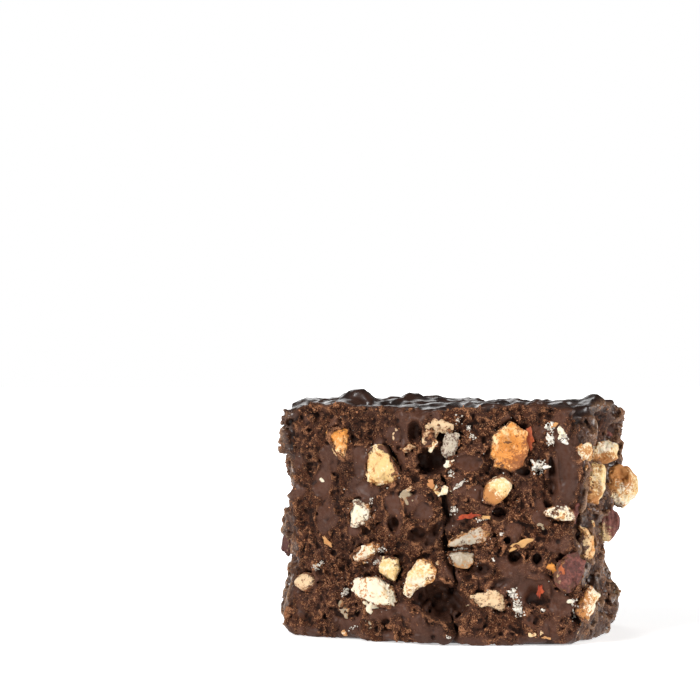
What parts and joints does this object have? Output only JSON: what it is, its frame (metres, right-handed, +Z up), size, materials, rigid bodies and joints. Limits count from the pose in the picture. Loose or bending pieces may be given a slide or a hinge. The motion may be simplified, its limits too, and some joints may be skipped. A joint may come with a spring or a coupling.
{
  "type": "hazelnut toffee block",
  "caption": "Hand-broken block of dark chocolate toffee set with pieces of roasted hazelnut, standing on its flat base.",
  "frame": {"origin": "middle of the bounding box, on the flat base", "axes": "+Z up from the flat base, +X along the width, -Y towards the broken front that the picture shows"},
  "size_m": [0.1076, 0.065, 0.0719],
  "materials": {
    "chocolate": "broken faces dull and crumbly, moulded faces satin",
    "nut_cream": "matt, fibrous",
    "nut_golden": "roasted, faintly oily",
    "nut_tan": "matt",
    "nut_grey": "translucent, waxy",
    "nut_skin": "papery skin"
  },
  "bodies": {
    "root": {"toffee_block": "chocolate", "hazelnut_01": "nut_golden", "hazelnut_02": "nut_cream", "hazelnut_03": "nut_cream", "hazelnut_04": "nut_grey", "hazelnut_05": "nut_golden", "hazelnut_06": "nut_cream", "hazelnut_07": "nut_cream", "hazelnut_08": "nut_tan", "hazelnut_09": "nut_cream", "hazelnut_10": "nut_cream", "hazelnut_11": "nut_cream", "hazelnut_12": "nut_cream", "hazelnut_13": "nut_grey", "hazelnut_14": "nut_grey", "hazelnut_15": "nut_tan", "hazelnut_16": "nut_tan", "hazelnut_17": "nut_cream", "hazelnut_18": "nut_tan", "hazelnut_19": "nut_skin", "hazelnut_20": "nut_golden", "hazelnut_21": "nut_skin", "hazelnut_22": "nut_cream", "hazelnut_23": "nut_cream", "hazelnut_24": "nut_cream", "hazelnut_25": "nut_golden", "hazelnut_26": "nut_cream", "hazelnut_27": "nut_tan", "hazelnut_28": "nut_cream", "hazelnut_29": "nut_grey", "hazelnut_30": "nut_golden", "hazelnut_31": "nut_skin", "hazelnut_32": "nut_cream", "hazelnut_33": "nut_golden", "hazelnut_34": "nut_cream", "hazelnut_35": "nut_tan", "hazelnut_36": "nut_cream", "hazelnut_37": "nut_grey", "hazelnut_38": "nut_golden", "hazelnut_39": "nut_skin", "hazelnut_40": "nut_cream", "hazelnut_41": "nut_golden"}
  },
  "joints": []
}
